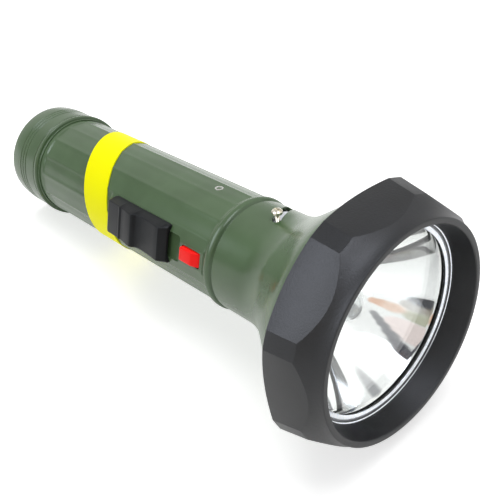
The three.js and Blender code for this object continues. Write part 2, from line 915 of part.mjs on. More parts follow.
// The mirror bowl is a paraboloid, with a flat flange on the head shell's front rim.
function reflector() {
  const span = mirrorRadius ** 2 - mirrorHoleRadius ** 2;
  const front = [];
  for (let i = 0; i <= mirrorSteps; i++) {
    const radius = THREE.MathUtils.lerp(mirrorHoleRadius, mirrorRadius, i / mirrorSteps);
    const depth = (mirrorDepth * (mirrorRadius ** 2 - radius ** 2)) / span;
    front.push([flangePlace + flangeThickness - depth, radius]);
  }
  const back = front.map(([place, radius]) => [place - mirrorWall, radius + mirrorWall * mirrorBackShare]);
  back[back.length - 1] = [flangePlace, mirrorRadius + mirrorWall];
  return turned([
    ...back,
    [flangePlace, flangeRadius],
    [flangePlace + flangeThickness, flangeRadius],
    ...front.reverse(),
  ]);
}

function flatRing(place, thickness, inner, outer) {
  return turned([
    [place, outer],
    [place + thickness, outer],
    [place + thickness, inner],
    [place, inner],
  ]);
}

function lens() {
  const bevel = lensThickness * lensBevelShare;
  return turned([
    [lensPlace, 0],
    [lensPlace, lensRadius - bevel],
    [lensPlace + bevel, lensRadius],
    [lensPlace + lensThickness - bevel, lensRadius],
    [lensPlace + lensThickness, lensRadius - bevel],
    [lensPlace + lensThickness, 0],
  ]);
}

// The facets: a tapering block whose corners stand at either side of each wide facet.
function facetBlock() {
  const angles = [];
  for (let i = 0; i < facetCount; i++) {
    const middle = (360 * i) / facetCount;
    angles.push(middle - facetHalfAngle, middle + facetHalfAngle);
  }
  const ends = [bezelCornerPlace - bezelCornerRadius * facetBlockShare, rimPlace + cutOverrun];
  const radiusAt = (place) => bezelCornerRadius - bezelTaper * (place - bezelCornerPlace);
  return loft(ends.map((place) => ringOf(place, angles, () => radiusAt(place))));
}

function bezelRear(radius) {
  return bezelCornerPlace - (bezelCornerRadius - radius) / bezelRearSlope;
}

function bezel() {
  const slope = (bezelShoulderRadius - bezelWaistRadius) / (bezelWaistPlace - bezelShoulderPlace);
  const drop = bezelCornerRadius - bezelShoulderRadius;
  const run = bezelShoulderPlace - bezelCornerPlace;
  const crownRun = (slope * run - drop) / (bezelRearSlope + slope);
  const outside = turned([
    [bezelRear(bezelBore), bezelBore],
    [bezelCornerPlace + crownRun, bezelCornerRadius + bezelRearSlope * crownRun],
    [bezelShoulderPlace, bezelShoulderRadius],
    [bezelWaistPlace, bezelWaistRadius],
    [rimPlace - rimChamfer, rimRadius],
    [rimPlace, rimRadius - rimChamfer],
    [rimPlace, rimInnerRadius + rimChamfer],
    [rimPlace - rimChamfer, rimInnerRadius],
    [ledgePlace, ledgeInnerRadius],
    [ledgePlace, bezelBore],
  ]);
  return fromSolid(toSolid(outside).intersect(toSolid(facetBlock())));
}

function cellCan(start) {
  return turned([
    [start, 0],
    ...corner(start + cellCanRound, cellRadius - cellCanRound, cellCanRound, 180, 90, 2),
    ...corner(start + cellCanLength - cellCanRound, cellRadius - cellCanRound, cellCanRound, 90, 0, 2),
    [start + cellCanLength, 0],
  ], innerSides);
}

function cellCap(start) {
  const base = cellCapLength - cellNubRise;
  return turned(
    [
      [start, 0],
      [start, cellRadius - cellCapStep],
      [start + base, cellRadius - cellCapStep],
      [start + base, cellNubRadius],
      [start + cellCapLength, cellNubRadius - base / 2],
      [start + cellCapLength, 0],
    ],
    innerSides,
  );
}

const paint = new THREE.Color(0x5f7753);
const nickel = new THREE.Color(0xc9c8c2);
const brass = new THREE.Color(0xb9974f);

function finish(color, roughness, metalness = 0) {
  return new THREE.MeshStandardMaterial({ color, roughness, metalness });
}

function piece(name, geometry, material) {
  const mesh = new THREE.Mesh(geometry, material);
  mesh.name = name;
  return mesh;
}

const torch = new THREE.Group();

// What is fixed to the barrel.
torch.add(
  piece("barrel", barrel(), finish(paint, 0.35)),
  piece("head_shell", headShell(), finish(paint, 0.35)),
  piece("yellow_band", labelBand(), finish(0xf4ee12, 0.5)),
  piece("contact_strip", contactStrip(), finish(brass, 0.35, 1)),
  piece("reflector", reflector(), finish(0xe8e8e8, 0.05, 1)),
  piece("front_cell_can", cellCan(frontCanStart), finish(0x8d9196, 0.4, 0.8)),
  piece("front_cell_cap", cellCap(frontCanStart + cellCanLength + seatGap), finish(nickel, 0.3, 1)),
  piece("rear_cell_can", cellCan(rearCanStart), finish(0x8d9196, 0.4, 0.8)),
  piece("rear_cell_cap", cellCap(rearCanStart + cellCanLength + seatGap), finish(nickel, 0.3, 1)),
);

const rivet = new THREE.Group();
rivet.rotation.x = eyeletAngle * radians;
rivet.add(piece("eyelet", eyelet(), finish(nickel, 0.25, 1)));

const switchSide = new THREE.Group();
switchSide.rotation.x = switchAngle * radians;
switchSide.add(
  piece("slide_knob", slideKnob(), finish(0x25272b, 0.6)),
  piece("slide_clip", slideClip(), finish(brass, 0.35, 1)),
  piece("push_button", pushButton(), finish(0xe0231f, 0.4)),
  piece("button_leaf", buttonLeaf(), finish(brass, 0.35, 1)),
);

const screwSide = new THREE.Group();
screwSide.rotation.x = slotFrontAngle * radians;
screwSide.add(piece("focus_screw", focusScrew(), finish(0xcdbf9a, 0.25, 1)));

torch.add(
  rivet,
  switchSide,
  screwSide,
  piece("focus_sleeve", focusSleeve(), finish(nickel, 0.25, 1)),
  piece("bulb_holder", bulbHolder(), finish(0xd8d5cb, 0.6)),
  piece("bulb_contact", bulbContact(), finish(brass, 0.35, 1)),
  piece("bulb_base", bulbBase(), finish(brass, 0.35, 1)),
  piece("bulb_glass", bulbGlass(), finish(0xf4f8fa, 0.05)),
  piece("tail_cap", tailCap(), finish(paint, 0.4)),
  piece("tail_plate", tailPlate(), finish(nickel, 0.3, 1)),
  piece("tail_spring", tailSpring(), finish(nickel, 0.3, 1)),
  piece(
    "lens_gasket",
    flatRing(gasketPlace, gasketThickness, mirrorRadius + flangeStep, flangeRadius),
    finish(0x2b2c2e, 0.8),
  ),
  piece("lens", lens(), finish(0xf2f6f7, 0.05)),
  piece(
    "lens_ring",
    flatRing(lensRingPlace, lensRingThickness, lensRadius - lensRingWidth, lensRadius),
    finish(0xe6e9ea, 0.1, 0.6),
  ),
  piece("bezel", bezel(), finish(0x1b1c1f, 0.55)),
);

// The torch lies with its lowest wide facet and its tail cap's edge on the floor, so its axis rises a little
// towards the lens. The facet touches at its rear edge, where the sloping rear face cuts it.
const flatShare = Math.cos(facetHalfAngle * radians);
const facetDrop = (bezelCornerRadius * (1 - flatShare)) / (bezelRearSlope + bezelTaper * flatShare);
const restPlace = bezelCornerPlace - facetDrop;
const restRadius = bezelCornerRadius - bezelRearSlope * facetDrop;
const tailEdge = [
  ...corner(capEndRound, capRadius - capEndDraft - capEndRound, capEndRound, 180, 90, 4),
  [capRingStart - capRingPitch / 2, capRadius],
  [capLength - capLipLength + capLipCrest, capLipRadius],
];
const lieAngle = Math.min(
  ...tailEdge.map(([place, radius]) => Math.atan2(restRadius - radius, restPlace - place)),
);
const lying = new THREE.Group();
lying.rotation.y = -lieAngle;
lying.add(torch);

const part = new THREE.Group();
part.add(lying);
part.updateMatrixWorld(true);
const box = new THREE.Box3().setFromObject(part, true);
lying.position.set(-(box.min.x + box.max.x) / 2, -(box.min.y + box.max.y) / 2, -box.min.z);

export default part;
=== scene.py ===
import json
import math

import bmesh
import bpy
from mathutils import Matrix, Vector


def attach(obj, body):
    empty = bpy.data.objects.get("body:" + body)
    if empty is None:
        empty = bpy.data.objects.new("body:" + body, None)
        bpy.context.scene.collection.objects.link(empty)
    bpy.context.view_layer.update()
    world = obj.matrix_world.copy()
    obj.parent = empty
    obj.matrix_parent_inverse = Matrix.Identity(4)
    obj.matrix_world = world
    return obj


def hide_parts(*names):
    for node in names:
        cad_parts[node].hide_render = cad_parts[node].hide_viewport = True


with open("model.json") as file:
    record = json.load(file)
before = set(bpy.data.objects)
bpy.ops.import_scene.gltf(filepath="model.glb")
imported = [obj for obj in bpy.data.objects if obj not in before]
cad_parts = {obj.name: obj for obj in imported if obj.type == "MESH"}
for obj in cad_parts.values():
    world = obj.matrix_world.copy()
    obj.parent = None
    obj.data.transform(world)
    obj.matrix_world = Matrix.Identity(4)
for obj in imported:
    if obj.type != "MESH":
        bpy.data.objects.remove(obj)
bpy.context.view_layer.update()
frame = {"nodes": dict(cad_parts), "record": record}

# Sizes are in millimetres, with places counted along the torch from its tail end, as in the part's source.
MM = 0.001
SWITCH_ANGLE = 72
SCREW_ANGLE = -3
EYELET_ANGLE = -8.2
AROUND = 160
SLOT_FRONT, SLOT_FRONT_ANGLE = 137.2, -0.6
SLOT_REAR, SLOT_REAR_ANGLE = 129.8, -47
SLOT_WIDTH = 3.0
SCREW_PLACE = 136.8

# The barrel: sixteen flutes pressed in between rounded ribs, and a switch pad in place of two of them.
BARREL_RADIUS = 19.3
BARREL_COLUMNS = 320
RIB_ANGLE = 22.5
RIB_ROUNDING = 1.0
FLUTE_DEPTH = 0.27
FLUTE_FULLNESS = 5.0
FLUTE_CORNER = 1.7
FLUTE_REAR = 22.0
FLUTE_FRONT = 120.9
FLUTE_RAMP = 0.9
PAD_REAR = 69.0
PAD_FRONT = 120.4
PAD_SLOPE = 19.5
PAD_CREASE = 3.24
DIP_PLACE = 120.75
DIP_DEPTH = 0.3
BEAD_REAR = 121.1

# The yellow label: a strip cut along two slanted planes, furthest forward at its low angle.
BAND_RADIUS = 19.48
BAND_MIDDLE = 45.06
BAND_SLANT = 9.38
BAND_LOW_ANGLE = 104.6
BAND_WIDTH = 14.6

# The bezel: how far its corners are out at a place, how they narrow, and a narrow facet's share of a side.
FACET_CORNER = 41.2
FACET_PLACE = 170.5
FACET_TAPER = 0.198
NARROW_FACET = 9.6

# The lying torch: where its tail end is and how it points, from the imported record's tail face.
tail_face = next(m for m in frame["record"]["mounts"] if m["name"] == "tail_face")
lie_angle = math.atan2(-tail_face["axis"][2], -tail_face["axis"][0])
LYING = Matrix.Translation(tail_face["pos_m"]) @ Matrix.Rotation(-lie_angle, 4, "Y")


# ---- Shader maths ----


class Wire:
    """A socket that can be worked with as a value."""

    def __init__(self, tree, socket):
        self.tree = tree
        self.socket = socket

    def maths(self, operation, *values):
        return self.tree.node("ShaderNodeMath", {"operation": operation}, values)

    def __add__(self, other):
        return self.maths("ADD", self, other)

    def __radd__(self, other):
        return self.maths("ADD", other, self)

    def __sub__(self, other):
        return self.maths("SUBTRACT", self, other)

    def __rsub__(self, other):
        return self.maths("SUBTRACT", other, self)

    def __mul__(self, other):
        return self.maths("MULTIPLY", self, other)

    def __rmul__(self, other):
        return self.maths("MULTIPLY", other, self)

    def __or__(self, other):
        return self.maths("MAXIMUM", self, other)

    def between(self, low, high):
        """0 below low, 1 above high, smooth in between."""
        settings = {"interpolation_type": "SMOOTHSTEP"}
        return self.tree.node("ShaderNodeMapRange", settings, [self, low, high, 0, 1])


class NodeTree:
    """The nodes of a material or of the world, with one method that adds a node."""

    def __init__(self, owner):
        owner.use_nodes = True
        self.nodes = owner.node_tree.nodes
        self.links = owner.node_tree.links

    def plug(self, socket, value):
        if isinstance(value, Wire):
            self.links.new(value.socket, socket)
        elif isinstance(value, tuple) and len(value) == 3 and socket.type == "RGBA":
            socket.default_value = (*value, 1)
        else:
            socket.default_value = value

    def node(self, kind, settings=None, inputs=(), output=0):
        """Adds a node, makes its settings, then fills its sockets, by place in a list or by name."""
        made = self.nodes.new(kind)
        for key, value in (settings or {}).items():
            setattr(made, key, value)
        pairs = inputs.items() if isinstance(inputs, dict) else enumerate(inputs)
        for key, value in pairs:
            self.plug(made.inputs[key], value)
        return Wire(self, made.outputs[output])

    def mix(self, factor, first, second):
        return self.node("ShaderNodeMix", {"data_type": "RGBA"}, {0: factor, 6: first, 7: second}, 2)

    def vector(self, operation, *values, output=0):
        return self.node("ShaderNodeVectorMath", {"operation": operation}, values, output)


class Finish(NodeTree):
    """A procedural material on one principled shader."""

    def __init__(self, name, color, roughness, **constants):
        self.material = bpy.data.materials.new(name)
        super().__init__(self.material)
        self.shader = self.nodes["Principled BSDF"]
        self.put("Base Color", color)
        self.put("Roughness", roughness)
        for socket, value in constants.items():
            self.put(socket.replace("_", " "), value)

    def put(self, socket, value):
        """Sets or links one of the principled shader's own sockets."""
        self.plug(self.shader.inputs[socket], value)

    def place(self):
        """Object coordinates turned to run along the torch, in metres from its tail end."""
        coordinates = self.node("ShaderNodeTexCoord", output="Object")
        shifted = self.vector("SUBTRACT", coordinates, tuple(tail_face["pos_m"]))
        settings = {"rotation_type": "Y_AXIS"}
        return self.node("ShaderNodeVectorRotate", settings, {"Vector": shifted, "Angle": lie_angle})

    def noise(self, size_mm, detail=3.0, stretch=(1, 1, 1)):
        where = self.vector("MULTIPLY", self.place(), stretch)
        inputs = {"Vector": where, "Scale": 1 / (size_mm * MM), "Detail": detail}
        return self.node("ShaderNodeTexNoise", inputs=inputs)

    def bump(self, height, depth_mm, strength=1.0):
        inputs = {"Height": height, "Distance": depth_mm * MM, "Strength": strength}
        self.put("Normal", self.node("ShaderNodeBump", inputs=inputs))

    def edges(self, radius_mm):
        """How sharply the surface turns here, from 0 on a flat to 1 on an edge."""
        rounded = self.node("ShaderNodeBevel", {"samples": 4}, {"Radius": radius_mm * MM})
        straight = self.node("ShaderNodeNewGeometry", output="Normal")
        same = self.vector("DOT_PRODUCT", rounded, straight, output=1)
        return (1 - same).between(0.01, 0.12)


def tint(code):
    """A colour as it shows on a screen, as the linear numbers that a shader takes."""
    levels = [int(code[i : i + 2], 16) / 255 for i in (0, 2, 4)]
    return tuple(v / 12.92 if v <= 0.04045 else ((v + 0.055) / 1.055) ** 2.4 for v in levels)


# ---- Making pieces ----


def leave_edit():
    if bpy.context.object and bpy.context.object.mode != "OBJECT":
        bpy.ops.object.mode_set(mode="OBJECT")


def start_afresh():
    """Out of edit mode, with nothing selected."""
    leave_edit()
    bpy.ops.object.select_all(action="DESELECT")


def work_on(piece):
    start_afresh()
    piece.select_set(True)
    bpy.context.view_layer.objects.active = piece


def pick(piece, test, kind="VERT"):
    """Selects in edit mode the corners that pass the test, or the edges whose two ends do."""
    work_on(piece)
    bpy.ops.object.mode_set(mode="EDIT")
    bpy.ops.mesh.select_mode(type=kind)
    bpy.ops.mesh.select_all(action="DESELECT")
    bpy.ops.object.mode_set(mode="OBJECT")
    mesh = piece.data
    if kind == "VERT":
        for corner in mesh.vertices:
            corner.select = bool(test(corner.co / MM))
    else:
        for edge in mesh.edges:
            a, b = (mesh.vertices[i].co / MM for i in edge.vertices)
            edge.select = bool(test(a, b))
    bpy.ops.object.mode_set(mode="EDIT")


def named(name):
    piece = bpy.context.object
    piece.name = name
    piece.data.name = name
    return piece


def tidy_mesh(piece):
    work_on(piece)
    bpy.ops.object.mode_set(mode="EDIT")
    bpy.ops.mesh.select_all(action="SELECT")
    bpy.ops.mesh.remove_doubles(threshold=0.004 * MM)
    bpy.ops.mesh.normals_make_consistent(inside=False)
    leave_edit()


def turned(name, profile, steps=AROUND, upright=False):
    """Spins (place, radius) points round the torch's axis, or (height, radius) points round an upright one."""

    def spot(point):
        along, radius = point[0] * MM, point[1] * MM
        return Vector((radius, 0, along)) if upright else Vector((along, 0, radius))

    start_afresh()
    bpy.ops.mesh.primitive_plane_add(size=MM, location=(0, 0, 0))
    piece = named(name)
    bpy.ops.object.mode_set(mode="EDIT")
    bpy.ops.mesh.select_mode(type="VERT")
    bpy.ops.mesh.merge(type="CENTER")
    bpy.ops.transform.translate(value=spot(profile[0]))
    for here, there in zip(profile, profile[1:]):
        bpy.ops.mesh.extrude_region_move(TRANSFORM_OT_translate={"value": spot(there) - spot(here)})
    bpy.ops.mesh.select_all(action="SELECT")
    axis = (0, 0, 1) if upright else (1, 0, 0)
    bpy.ops.mesh.spin(steps=steps, angle=2 * math.pi, center=(0, 0, 0), axis=axis)
    tidy_mesh(piece)
    return piece


def block(name, low, high):
    """A box between two corners, as a start."""
    start_afresh()
    low, high = Vector(low) * MM, Vector(high) * MM
    bpy.ops.mesh.primitive_cube_add(size=1, location=(low + high) / 2)
    piece = named(name)
    piece.scale = high - low
    bpy.ops.object.transform_apply(location=True, rotation=True, scale=True)
    return piece


def cut_at(piece, points, normal):
    """Bisects the whole piece at each point, which adds a row of edges there."""
    work_on(piece)
    bpy.ops.object.mode_set(mode="EDIT")
    for point in points:
        bpy.ops.mesh.select_all(action="SELECT")
        bpy.ops.mesh.bisect(plane_co=Vector(point) * MM, plane_no=normal)
    leave_edit()


def shift(piece, test, by):
    """Moves the corners that pass the test."""
    pick(piece, test)
    bpy.ops.transform.translate(value=Vector(by) * MM)
    leave_edit()


def widen(piece, test, by):
    """Scales the corners that pass the test, from the torch's axis."""
    pick(piece, test)
    bpy.ops.transform.resize(value=by, center_override=(0, 0, 0))
    leave_edit()


def bevelled(piece, width, segments=3, angle=30):
    work_on(piece)
    bpy.ops.object.modifier_add(type="BEVEL")
    made = piece.modifiers[-1]
    made.width = width * MM
    made.segments = segments
    made.limit_method = "ANGLE"
    made.angle_limit = math.radians(angle)
    bpy.ops.object.modifier_apply(modifier=made.name)
    return piece


def combined(piece, other, operation):
    work_on(piece)
    bpy.ops.object.modifier_add(type="BOOLEAN")
    made = piece.modifiers[-1]
    made.operation = operation
    made.solver = "EXACT"
    made.object = other
    bpy.ops.object.modifier_apply(modifier=made.name)
    bpy.data.objects.remove(other, do_unlink=True)
    return piece


def rolled(piece, angle):
    """Turns a piece that was made on top of the torch round to its place."""
    work_on(piece)
    piece.matrix_world = Matrix.Rotation(math.radians(angle), 4, "X") @ piece.matrix_world
    bpy.ops.object.transform_apply(location=True, rotation=True, scale=True)
    return piece


def dressed(piece, finish, body, node):
    """Gives a piece its finish and says what it stands for."""
    piece.data.materials.clear()
    piece.data.materials.append(finish.material)
    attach(piece, body)
    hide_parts(node)


def laid(piece, finish, body, node, smooth=32):
    """Puts a finished piece where the torch lies and dresses it."""
    work_on(piece)
    piece.matrix_world = LYING @ piece.matrix_world
    bpy.ops.object.transform_apply(location=True, rotation=True, scale=True)
    bpy.ops.object.shade_smooth_by_angle(angle=math.radians(smooth))
    dressed(piece, finish, body, node)


def side_angle(spot):
    """The angle round the torch from the top towards the switch, in degrees."""
    return math.degrees(math.atan2(-spot.y, spot.z))


# ---- Finishes ----


def green_paint():
    """Semi-gloss enamel with a little orange peel, paler where it wears on ribs and edges."""
    paint = Finish("green_paint", tint("536b4a"), 0.22)
    cloud = paint.noise(14, 2)
    fleck = paint.noise(0.5, 2)
    edge_share = paint.edges(0.5)
    tone = paint.mix(cloud.between(0.3, 0.7), tint("506847"), tint("57704e"))
    paint.put("Base Color", paint.mix(edge_share * fleck.between(0.45, 0.7) * 0.4, tone, tint("7f9176")))
    paint.put("Roughness", 0.18 + cloud * 0.08 + edge_share * 0.06)
    paint.bump(paint.noise(1.4, 2) + fleck * 0.15, 0.008, 0.4)
    return paint


def yellow_label():
    # The label is given a faint glow in its own yellow. This is a painted glow: the label is no lamp, and the
    # emission only brightens it.
    label = Finish(
        "yellow_label",
        tint("fffc00"),
        0.42,
        Specular_IOR_Level=0.1,
        Emission_Color=tint("fffc00"),
        Emission_Strength=0.16,
    )
    cloud = label.noise(9, 2)
    label.put("Base Color", label.mix(cloud.between(0.3, 0.75), tint("fef900"), tint("fffd04")))
    label.put("Roughness", 0.4 + cloud * 0.14)
    label.bump(label.noise(0.6, 2), 0.006, 0.5)
    return label


def grained(name, color, light, edge, grain_mm, depth_mm, roughness, **constants):
    """Moulded plastic with a fine grain, a little cloudy, paler along its edges."""
    plastic = Finish(name, color, roughness, **constants)
    grain = plastic.noise(grain_mm, 3)
    cloud = plastic.noise(11, 2)
    edge_share = plastic.edges(0.3)
    tone = plastic.mix(cloud.between(0.3, 0.7), color, light)
    # Mixes the colour part way towards the edge colour along sharp edges.
    plastic.put("Base Color", plastic.mix(edge_share * 0.3, tone, edge))
    plastic.put("Roughness", roughness - 0.08 + grain * 0.16)
    plastic.bump(grain, depth_mm, 0.9)
    return plastic


def bare_metal(name, color, light, roughness, stretch=(1, 1, 1)):
    """Bright metal, rubbed a little along or round it."""
    metal = Finish(name, color, roughness, Metallic=1.0)
    rub = metal.noise(0.9, 3, stretch)
    metal.put("Base Color", metal.mix(rub.between(0.3, 0.7), color, light))
    metal.put("Roughness", roughness - 0.04 + rub * 0.1)
    metal.bump(rub, 0.006, 0.4)
    return metal


def clear_glass(name):
    """Clear glass, a little smeared in places."""
    glass = Finish(name, tint("fafcfc"), 0.0, Transmission_Weight=1.0, IOR=1.46)
    smear = glass.noise(13, 3)
    glass.put("Roughness", smear.between(0.55, 0.9) * 0.04)
    return glass


paint = green_paint()
label = yellow_label()
charcoal = grained(
    "charcoal_plastic",
    color=tint("131517"),
    light=tint("191b1d"),
    edge=tint("3c4044"),
    grain_mm=0.3,
    depth_mm=0.012,
    roughness=0.4,
    Specular_IOR_Level=0.2,
)
black = grained(
    "black_plastic",
    color=tint("121315"),
    light=tint("18191c"),
    edge=tint("4b4e53"),
    grain_mm=0.5,
    depth_mm=0.07,
    roughness=0.4,
    Specular_IOR_Level=0.5,
)
# The red plastic is given a faint glow in its own red. This is a painted glow: the button is no lamp.
red = grained(
    "red_plastic",
    color=tint("fa1410"),
    light=tint("ff1c16"),
    edge=tint("ff5a50"),
    grain_mm=0.8,
    depth_mm=0.006,
    roughness=0.35,
    Specular_IOR_Level=0.2,
    Emission_Color=tint("ff1410"),
    Emission_Strength=0.2,
)
rubber = grained(
    "gasket_rubber",
    color=tint("2e322d"),
    light=tint("3a3f38"),
    edge=tint("4b5048"),
    grain_mm=0.4,
    depth_mm=0.02,
    roughness=0.7,
)
insulator = grained(
    "insulator",
    color=tint("cfcabb"),
    light=tint("dbd7ca"),
    edge=tint("e8e5db"),
    grain_mm=0.5,
    depth_mm=0.02,
    roughness=0.6,
)
nickel = bare_metal("nickel", tint("c9c8c4"), tint("dcdbd7"), 0.2)
satin_nickel = bare_metal("satin_nickel", tint("dfe3ea"), tint("eef1f6"), 0.38)
ring_metal = bare_metal("lens_ring_metal", tint("dde2e8"), tint("f2f5f8"), 0.16)
brass = bare_metal("brass_strip", tint("c2a35a"), tint("d3b670"), 0.3)
pale_brass = bare_metal("pale_brass", tint("cbc5b3"), tint("e2dccb"), 0.2)
can_metal = bare_metal("cell_can", tint("9a9ea4"), tint("b0b4b9"), 0.38, (0.15, 1, 1))
mirror = bare_metal("mirror", tint("f8f8f6"), tint("fcfcfa"), 0.06)
mirror.put("Roughness", 0.02 + mirror.noise(16, 2) * 0.04)
lens_glass = clear_glass("lens_glass")
bulb_clear = clear_glass("bulb_glass")


# ---- Pieces ----


def ease(value, low, high):
    """0 below low, 1 above high, smooth in between."""
    share = min(max((value - low) / (high - low), 0), 1)
    return share * share * (3 - 2 * share)


def flute_share(place, beside):
    """How deep the barrel is pressed in, from 0 to 1, at an angle beside the nearest rib."""
    half = RIB_ANGLE / 2
    reach = (math.hypot(beside, RIB_ROUNDING) - RIB_ROUNDING) / (math.hypot(half, RIB_ROUNDING) - RIB_ROUNDING)
    across = 1 - (1 - reach) ** FLUTE_FULLNESS
    half_width = math.radians(half) * BARREL_RADIUS
    off_middle = math.radians(half - beside) * BARREL_RADIUS
    in_corner = max(off_middle - (half_width - FLUTE_CORNER), 0)
    cut_off = FLUTE_CORNER - math.sqrt(max(FLUTE_CORNER**2 - in_corner**2, 0))
    rear = ease(place - FLUTE_REAR - cut_off, 0, FLUTE_RAMP * 1.6)
    front = ease(FLUTE_FRONT - cut_off - place, 0, FLUTE_RAMP)
    return min(across, rear, front)


def barrel_radius(place, from_switch):
    """The barrel's pressed surface at a place and at an angle from the switch's middle."""
    aside = abs((from_switch + 180) % 360 - 180)
    into = aside % RIB_ANGLE
    fluted = BARREL_RADIUS - FLUTE_DEPTH * flute_share(place, min(into, RIB_ANGLE - into))
    if aside >= RIB_ANGLE:
        return fluted
    slope_height = BARREL_RADIUS * math.cos(math.radians(RIB_ANGLE - PAD_SLOPE))
    flat = BARREL_RADIUS / math.cos(math.radians(aside))
    pad = min(flat, slope_height / math.cos(math.radians(aside - PAD_SLOPE)))
    share = ease(place, PAD_REAR - 1, PAD_REAR) * (1 - ease(place, PAD_FRONT, PAD_FRONT + 0.5))
    beside_middle = math.radians(aside) * BARREL_RADIUS
    dip = ease(0.45 - abs(place - DIP_PLACE), 0, 0.35) * (1 - ease(beside_middle, 3.2, 4.3))
    outside = max(fluted, BARREL_RADIUS - 0.1) if place > PAD_FRONT else fluted
    return outside + (pad - outside) * share - DIP_DEPTH * dip


def press(piece, radius_at, low, high):
    """Moves the corners of a turned piece's outer skin, between two places, in or out to the radius wanted."""
    groups = {}
    for corner in piece.data.vertices:
        place, radius = corner.co.x / MM, math.hypot(corner.co.y, corner.co.z) / MM
        if low < place < high and radius > BARREL_RADIUS - 0.1:
            wanted = radius_at(place, side_angle(corner.co) - SWITCH_ANGLE)
            groups.setdefault(round(wanted / radius, 4), []).append(corner.index)
    work_on(piece)
    bpy.ops.object.mode_set(mode="EDIT")
    bpy.ops.mesh.select_mode(type="VERT")
    for factor, members in groups.items():
        bpy.ops.mesh.select_all(action="DESELECT")
        corners = bmesh.from_edit_mesh(piece.data).verts
        corners.ensure_lookup_table()
        for index in members:
            corners[index].select_set(True)
        bpy.ops.transform.resize(value=(1, factor, factor), center_override=(0, 0, 0))
    leave_edit()


def make_barrel():
    """A turned tube with a rolled bead, pressed to flutes and pad and cut for the switch and the button."""
    rows = [21.2, 22.0, 22.4, 22.8, 23.2, 23.6, 24.1, 24.7, 25.5, 40, 55, 66.5]
    rows += [67.6, 68.0, 68.2, 68.4, 68.6, 68.8, 69.0, 69.4, 75, 90, 105, 114, 117.5]
    rows += [118.3 + 0.25 * step for step in range(12)]
    profile = [(3.85, 17.6), (3.85, 18.2), (18.4, 18.2), (18.45, BARREL_RADIUS)]
    profile += [(place, BARREL_RADIUS) for place in rows]
    profile += [
        (BEAD_REAR + 0.05, 19.35),
        (121.35, 19.62),
        (121.8, 19.84),
        (122.4, 19.92),
        (123.0, 19.84),
        (123.5, 19.6),
        (123.85, 19.25),
        (124.0, 18.9),
        (124.3, 18.6),
        (124.9, 18.5),
        (124.9, 17.6),
        (3.85, 17.6),
    ]
    barrel = turned("barrel_tube", profile, BARREL_COLUMNS)
    press(barrel, barrel_radius, 21.3, BEAD_REAR)
    pocket = block("pocket", (74, -4.5, 18.1), (108.8, 4.7, 21))
    pick(pocket, lambda a, b: abs(a.z - b.z) > 1, "EDGE")
    bpy.ops.mesh.bevel(offset=1.6 * MM, segments=6, affect="EDGES")
    bevelled(pocket, 0.55, 3)
    combined(barrel, rolled(pocket, SWITCH_ANGLE), "DIFFERENCE")
    window = block("window", (109.95, -2.75, 16), (119.05, 2.75, 21))
    bevelled(window, 0.5, 2)
    combined(barrel, rolled(window, SWITCH_ANGLE), "DIFFERENCE")
    laid(barrel, paint, "torch_body", "barrel", smooth=28)


def make_band():
    """The label: a thin sleeve over the ribs, cut along two parallel slanted planes."""
    outside = [(place, BAND_RADIUS) for place in range(30, 75, 4)]
    band = turned("yellow_label", [*outside, (74, 18.84), (30, 18.84), (30, BAND_RADIUS)])
    low = math.radians(BAND_LOW_ANGLE)
    lean = BAND_SLANT / BAND_RADIUS
    normal = Vector((1, lean * math.sin(low), -lean * math.cos(low)))
    work_on(band)
    bpy.ops.object.mode_set(mode="EDIT")
    bpy.ops.mesh.select_mode(type="EDGE")
    for place, rear in ((BAND_MIDDLE, True), (BAND_MIDDLE + BAND_WIDTH, False)):
        bpy.ops.mesh.select_all(action="SELECT")
        bpy.ops.mesh.bisect(
            plane_co=(place * MM, 0, 0), plane_no=normal, clear_inner=rear, clear_outer=not rear
        )
        bpy.ops.mesh.select_all(action="DESELECT")
        bpy.ops.mesh.select_non_manifold()
        bpy.ops.mesh.bridge_edge_loops()
    tidy_mesh(band)
    laid(band, label, "torch_body", "yellow_band")


def make_head_shell():
    """The neck and the flare, in one thin shell, with the slanted slot through the neck."""
    flare = [
        (125.0, 19.25),
        (138, 19.3),
        (140, 19.5),
        (142, 19.9),
        (144, 20.5),
        (146, 21.2),
        (148, 22.2),
        (150, 23.4),
        (152, 24.75),
        (154, 26.2),
        (156, 27.7),
        (158, 29.2),
        (160, 30.65),
        (162, 32.0),
        (163.5, 32.85),
        (165, 33.5),
        (166.2, 33.8),
    ]
    inside = [(place + 0.5, radius - 1.1) for place, radius in flare[:1:-1]]
    profile = [(124.7, 19.0), *flare, (174.3, 33.8), (174.3, 32.7), *inside]
    profile += [(139.1, 18.6), (124.7, 18.6), (124.7, 19.0)]
    shell = turned("head_shell_pressed", profile)
    slot_end = [(17, 0), (17, SLOT_WIDTH / 2), (23, SLOT_WIDTH / 2), (23, 0)]
    for place, angle in ((SLOT_FRONT, SLOT_FRONT_ANGLE), (SLOT_REAR, SLOT_REAR_ANGLE)):
        end = turned("slot_end", slot_end, 32, upright=True)
        shift(end, lambda spot: True, (place, 0, 0))
        combined(shell, rolled(end, angle), "DIFFERENCE")
    combined(shell, slanted_slot(), "DIFFERENCE")
    laid(shell, paint, "torch_body", "head_shell", smooth=28)


